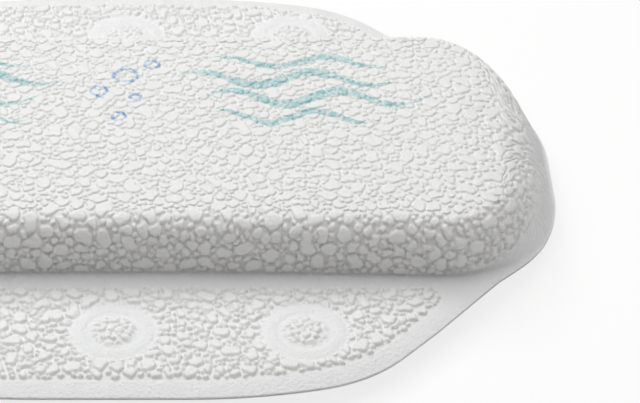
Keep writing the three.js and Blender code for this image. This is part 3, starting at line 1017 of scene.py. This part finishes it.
# Materials.
class Wire:
    # a node's output that can be written in sums
    def __init__(self, mixer, socket):
        self.mixer = mixer
        self.socket = socket

    def maths(self, operation, other):
        return self.mixer.maths(operation, self, other)

    def __add__(self, other):
        return self.maths("ADD", other)

    def __sub__(self, other):
        return self.maths("SUBTRACT", other)

    def __rsub__(self, other):
        return self.mixer.maths("SUBTRACT", other, self)

    def __mul__(self, other):
        return self.maths("MULTIPLY", other)

    def __truediv__(self, other):
        return self.maths("DIVIDE", other)

    def __pow__(self, other):
        return self.maths("POWER", other)

    __radd__ = __add__
    __rmul__ = __mul__

    def clamp(self):
        return self.mixer.node("ShaderNodeClamp", Value=self, Min=0.0, Max=1.0)

    def soft(self, low, high):
        # smooth step from low to high
        settings = {"interpolation_type": "SMOOTHSTEP"}
        return self.mixer.node("ShaderNodeMapRange", settings, [self, low, high, 0.0, 1.0])


class Mixer:
    # the nodes of one material or world
    def __init__(self, owner):
        self.owner = owner
        owner.use_nodes = True
        self.tree = owner.node_tree
        self.tree.nodes.clear()

    def feed(self, socket, value):
        if isinstance(value, Wire):
            self.tree.links.new(value.socket, socket)
        else:
            socket.default_value = value

    def node(self, kind, settings=None, values=None, output=0, **named):
        # any node: settings first, then its sockets by place or by name
        made = self.tree.nodes.new(kind)
        for key, value in (settings or {}).items():
            setattr(made, key, value)
        places = values if isinstance(values, dict) else dict(enumerate(values or ()))
        for place, value in places.items():
            self.feed(made.inputs[place], value)
        for key, value in named.items():
            self.feed(made.inputs[key.replace("_", " ")], value)
        if isinstance(output, tuple):
            return [Wire(self, made.outputs[each]) for each in output]
        return Wire(self, made.outputs[output]) if made.outputs else None

    def maths(self, operation, *values):
        return self.node("ShaderNodeMath", {"operation": operation}, values)

    def place(self):
        # Object coordinates in millimetres
        place = self.node("ShaderNodeTexCoord", output="Object")
        return self.node("ShaderNodeVectorMath", {"operation": "SCALE"}, [place], Scale=1 / mm)

    def mark(self, name):
        # a value kept on the mesh
        return self.node("ShaderNodeAttribute", {"attribute_name": name}, output=2)

    def noise(self, place, scale, detail):
        return self.node("ShaderNodeTexNoise", Vector=place, Scale=scale, Detail=detail)

    def mix(self, factor, first, second):
        return self.node("ShaderNodeMix", {"data_type": "RGBA"}, {0: factor, 6: first, 7: second}, output=2)

    def bump(self, height, strength, distance):
        return self.node("ShaderNodeBump", Height=height, Strength=strength, Distance=distance * mm)

    def finish(self, **sockets):
        surface = self.node("ShaderNodeBsdfPrincipled", **sockets)
        self.node("ShaderNodeOutputMaterial", Surface=surface)
        return self.owner


def newLook(name):
    return Mixer(bpy.data.materials.new(name))


def most(wires):
    # the largest of several values
    whole = wires[0]
    for wire in wires[1:]:
        whole = whole.maths("MAXIMUM", wire)
    return whole


noiseMiddle = 0.5  # a noise's mean

# In each paint a noise is its scale for each millimetre and its detail, a bump its strength and distance.
sheetPaint = {
    "white": (0.862, 0.862, 0.858, 1),
    # painted shade: the groove colour greys and slightly warms the grooves between the pebbles, fading out
    # between the two relief values below, in place of the shade that falls in them
    "groove": (0.825, 0.825, 0.815, 1),
    "grooveShadeRelief": (0.0, 0.75),
    "pressed": (0.838, 0.843, 0.85, 1),  # smooth where the sheet was welded
    "teal": (0.33, 0.58, 0.60, 1),
    "blue": (0.22, 0.42, 0.70, 1),
    "crown": (31.0, 33.5),  # the print fades in between these heights
    "strokes": [  # centre, half length, height and length of the wave, half width
        (70, 40, 36, 3.6, 40, 2.6),
        (64, 28, 44, 4.4, 44, 3.4),
        (74, 15, 46, 4.6, 42, 3.2),
        (66, 2, 34, 3.8, 36, 2.4),
    ],
    "strokeRagged": 1.2,  # how far the ink strays from its edge
    "strokeEdge": (-0.25, 0.45),
    "strokeTip": (0.0, 0.12),
    "bubbles": [(2, 30, 4.6), (12, 38, 2.8), (-8, 19, 3.2), (6, 15, 2.0), (0, 2, 2.6)],  # centre, radius
    "bubbleLine": 0.75,
    "bubbleRagged": 0.9,
    "bubbleEdge": (-0.1, 0.4),
    "ink": (0.35, 3.0),
    "speck": (0.9, 2.0),
    "inkWet": (0.3, 0.65),
    "speckWet": (0.38, 0.6),
    "wet": (0.5, 0.45, 0.1),  # weights of ink and specks, and the least cover
    "cloud": (0.02, 2.0),
    "swell": (0.09, 2.0),
    "fine": (0.75, 3.0),
    "tooth": (2.6, 2.0),
    "heights": (1.3, 1.5, -0.8, 0.4),  # of swell, fine, fine on pebbles, tooth
    "bump": (0.5, 0.7),
    "rough": (0.42, 0.10, 0.10, 0.06),  # plain, cloud, grooves, smooth welds
    "shine": 0.45,
}


def vinyl(look):
    # white foamed vinyl: painted shade that greys the grooves, a fine grain, and a print of waves and
    # bubbles on the crown
    m = newLook("pebbled_vinyl")
    place = m.place()
    x, y, z = m.node("ShaderNodeSeparateXYZ", Vector=place, output=("X", "Y", "Z"))
    relief, grain = m.mark("relief"), m.mark("grain")
    smooth = m.mix(grain, look["pressed"], look["white"])
    # painted shade: where the relief is low, in the grooves, the colour goes over to the greyer groove
    # colour
    shadedBase = m.mix(relief.soft(*look["grooveShadeRelief"]), look["groove"], smooth)

    ink = m.noise(place, *look["ink"])
    stray = ink - noiseMiddle
    waves = []
    for cx, cy, half, rise, length, width in look["strokes"]:
        for mirror in (1, -1):
            run = x - mirror * cx
            along = run / half
            middle = cy + rise * m.maths("SINE", run * (2 * math.pi / length))
            taper = (1 - along * along).maths("MAXIMUM", 0.0)
            away = m.maths("ABSOLUTE", y - middle) + look["strokeRagged"] * stray
            waves.append((taper * width - away).soft(*look["strokeEdge"]) * taper.soft(*look["strokeTip"]))
    bubbles = []
    for cx, cy, radius in look["bubbles"]:
        r = ((x - cx) * (x - cx) + (y - cy) * (y - cy)) ** 0.5
        inside = look["bubbleLine"] - m.maths("ABSOLUTE", r - radius)
        bubbles.append((inside + look["bubbleRagged"] * stray).soft(*look["bubbleEdge"]))
    inkWeight, speckWeight, least = look["wet"]
    speck = m.noise(place, *look["speck"]).soft(*look["speckWet"])
    wet = (ink.soft(*look["inkWet"]) * inkWeight + speck * speckWeight + least).clamp()
    cover = wet * z.soft(*look["crown"])
    colour = m.mix(most(waves) * cover, shadedBase, look["teal"])
    colour = m.mix(most(bubbles) * cover, colour, look["blue"])

    cloud, swell, fine, tooth = (m.noise(place, *look[key]) for key in ("cloud", "swell", "fine", "tooth"))
    swellHigh, fineHigh, finePebbled, toothHigh = look["heights"]
    height = swell * swellHigh + fine * (fineHigh + finePebbled * grain) + tooth * toothHigh
    plain, cloudy, grooved, welded = look["rough"]
    rough = plain + cloudy * (cloud - noiseMiddle) + grooved * (1 - relief) + welded * (1 - grain)
    bump = m.bump(height, *look["bump"])
    return m.finish(Base_Color=colour, Roughness=rough, Normal=bump, Specular_IOR_Level=look["shine"])


filmPaint = {
    "colour": (0.80, 0.815, 0.81, 1),
    "vein": (0.74, 0.76, 0.76, 1),
    "cloud": (0.03, 3.0),
    "cloudEdge": (0.35, 0.65),
    "weave": (0.9, 2.0),
    "heights": (0.7, 0.3),
    "bump": (0.25, 0.6),
    "rough": (0.24, 0.14),
}


def clearFilm(look):
    # milky film: faint cloudiness and a shallow calender texture
    m = newLook("back_film")
    place = m.place()
    cloud, weave = m.noise(place, *look["cloud"]), m.noise(place, *look["weave"])
    colour = m.mix(cloud.soft(*look["cloudEdge"]), look["vein"], look["colour"])
    cloudHigh, weaveHigh = look["heights"]
    bump = m.bump(cloud * cloudHigh + weave * weaveHigh, *look["bump"])
    plain, woven = look["rough"]
    return m.finish(Base_Color=colour, Roughness=plain + woven * weave, Normal=bump)


foamPaint = {
    "colour": (0.80, 0.74, 0.55, 1),
    "cell": (0.62, 0.55, 0.36, 1),
    "cells": 0.9,  # scale for each millimetre
    "cellEdge": (0.15, 0.5),
    "bump": (0.5, 0.6),
    "rough": 0.95,
}


def openFoam(look):
    # cream polyurethane foam: small dark cells
    m = newLook("cell_foam")
    cells = m.node("ShaderNodeTexVoronoi", Vector=m.place(), Scale=look["cells"])
    cells = cells.soft(*look["cellEdge"])
    colour = m.mix(cells, look["cell"], look["colour"])
    return m.finish(Base_Color=colour, Roughness=look["rough"], Normal=m.bump(cells, *look["bump"]))


cupPaint = {
    "colour": (0.80, 0.84, 0.85, 1),
    "edge": (0.72, 0.775, 0.79, 1),
    "cloud": (0.06, 2.0),
    "cloudEdge": (0.3, 0.7),
    "flow": (0.25, 2.0),
    "bump": (0.12, 0.8),
    "smear": (0.15, 2.0),
    "rough": (0.14, 0.12),
    "clear": 0.2,
    "bend": 1.52,  # index of refraction
}


def milkyVinyl(look):
    # soft moulded vinyl: cloudy, glossy, with faint flow marks
    m = newLook("cup_vinyl")
    place = m.place()
    cloud = m.noise(place, *look["cloud"]).soft(*look["cloudEdge"])
    plain, smeared = look["rough"]
    return m.finish(
        Base_Color=m.mix(cloud, look["edge"], look["colour"]),
        Roughness=plain + smeared * m.noise(place, *look["smear"]),
        Normal=m.bump(m.noise(place, *look["flow"]), *look["bump"]),
        Transmission_Weight=look["clear"],
        IOR=look["bend"],
    )


vinylLook = vinyl(sheetPaint)
filmLook = clearFilm(filmPaint)
foamLook = openFoam(foamPaint)
cupLook = milkyVinyl(cupPaint)


def dress(piece, look, slot, *nodes):
    # its material, and the nodes that it stands for
    piece.data.materials.clear()
    piece.data.materials.append(look)
    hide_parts(*nodes)


dress(cushionPiece, vinylLook, "pebbled_sheet", "cushion_cover")
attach(cushionPiece, "cushion")
dress(foamPiece, foamLook, "foam", "foam_core")
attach(foamPiece, "cushion")
dress(bellyPiece, filmLook, "back_film", "back_film")
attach(bellyPiece, "cushion")


for side, direction in sides.items():
    skin, backing = skins[side], films[side]
    dress(skin, vinylLook, "pebbled_sheet", f"{side}_flange")
    dress(backing, filmLook, "back_film", f"{side}_flange_film")
    for layer, under in ((skin, backing.name), (backing, skin.name)):
        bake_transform(layer)
    for column in cupColumns:
        piece = cupPieces[side, column]
        dress(piece, cupLook, "cup_vinyl", f"cup_{side}_{column}")
        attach(piece, f"{side}_{column}_cup")
print("pieces dressed")

# Stage, light and camera, in metres.
studio = {
    "floorHalf": 3.0,
    "floorLevel": -0.00005,
    "floorColour": (0.8, 0.8, 0.8, 1),
    "floorLift": 0.75,
    "floorGlow": 1.05,
    "white": (1, 1, 1, 1),
    "lamps": [  # name, place, target, size, power
        ("softbox", (-0.32, 0.48, 1.20), (-0.32, 0.48, 0.0), 2.0, 19.2),
        ("rake", (-0.55, 0.85, 1.15), (0.06, 0.0, 0.02), 0.5, 5.3),
        ("fill", (1.15, -0.45, 0.50), (0.16, 0.0, 0.02), 1.0, 1.8),
    ],
    "worldLevel": 0.18,
    "worldColour": (1.0, 0.985, 0.95, 1),
    "eye": (0.0304, -0.8234, 0.6090),
    "tilt": math.radians(53.4),
    "lens": 149.06,
    "sensor": 36.0,
    "shift": 0.189,
}


def floorPaper(look):
    # pale paper that keeps the shadow; seen directly, mirrored or through a cup, it is lifted to white
    m = newLook("floor_paper")
    rays = ("Is Camera Ray", "Is Glossy Ray", "Is Transmission Ray")
    shown = most(m.node("ShaderNodeLightPath", output=rays))
    diffuse = m.node("ShaderNodeBsdfDiffuse", Color=look["floorColour"])
    glow = m.node("ShaderNodeEmission", Color=look["white"], Strength=look["floorGlow"])
    both = m.node("ShaderNodeMixShader", values=[shown * look["floorLift"], diffuse, glow])
    m.node("ShaderNodeOutputMaterial", Surface=both)
    return m.owner


def placed(name, data, location, turn):
    # a lamp or a camera in the scene
    thing = bpy.data.objects.new(name, data)
    thing.location = location
    thing.rotation_euler = turn
    bpy.context.scene.collection.objects.link(thing)
    return thing


def buildStudio(look):
    # floor, lamps, backdrop and camera
    half, ground = look["floorHalf"], look["floorLevel"]
    corners = np.array([(x * half, y * half, ground) for x, y in ((-1, -1), (1, -1), (1, 1), (-1, 1))])
    floor = makePiece("floor", corners / mm, np.array([[0, 1, 2, 3]]))
    floor.data.materials.append(floorPaper(look))

    for name, place, target, size, power in look["lamps"]:
        light = bpy.data.lights.new(name, "AREA")
        light.size = size
        light.energy = power
        placed(name, light, place, (Vector(target) - Vector(place)).to_track_quat("-Z", "Y").to_euler())

    # the camera sees a white backdrop; everything else is lit by a dimmer one
    world = bpy.data.worlds.new("studio")
    m = Mixer(world)
    seen = m.node("ShaderNodeLightPath", output="Is Camera Ray")
    level = look["worldLevel"] + (1 - look["worldLevel"]) * seen
    colour = m.mix(seen, look["worldColour"], look["white"])
    sky = m.node("ShaderNodeBackground", Color=colour, Strength=level)
    m.node("ShaderNodeOutputWorld", Surface=sky)
    bpy.context.scene.world = world

    lens = bpy.data.cameras.new("camera")
    lens.lens = look["lens"]
    lens.sensor_width = look["sensor"]
    lens.shift_x = look["shift"]
    bpy.context.scene.camera = placed("camera", lens, look["eye"], (look["tilt"], 0, 0))
    bpy.context.scene.view_settings.view_transform = "Standard"


buildStudio(studio)
print("studio ready")
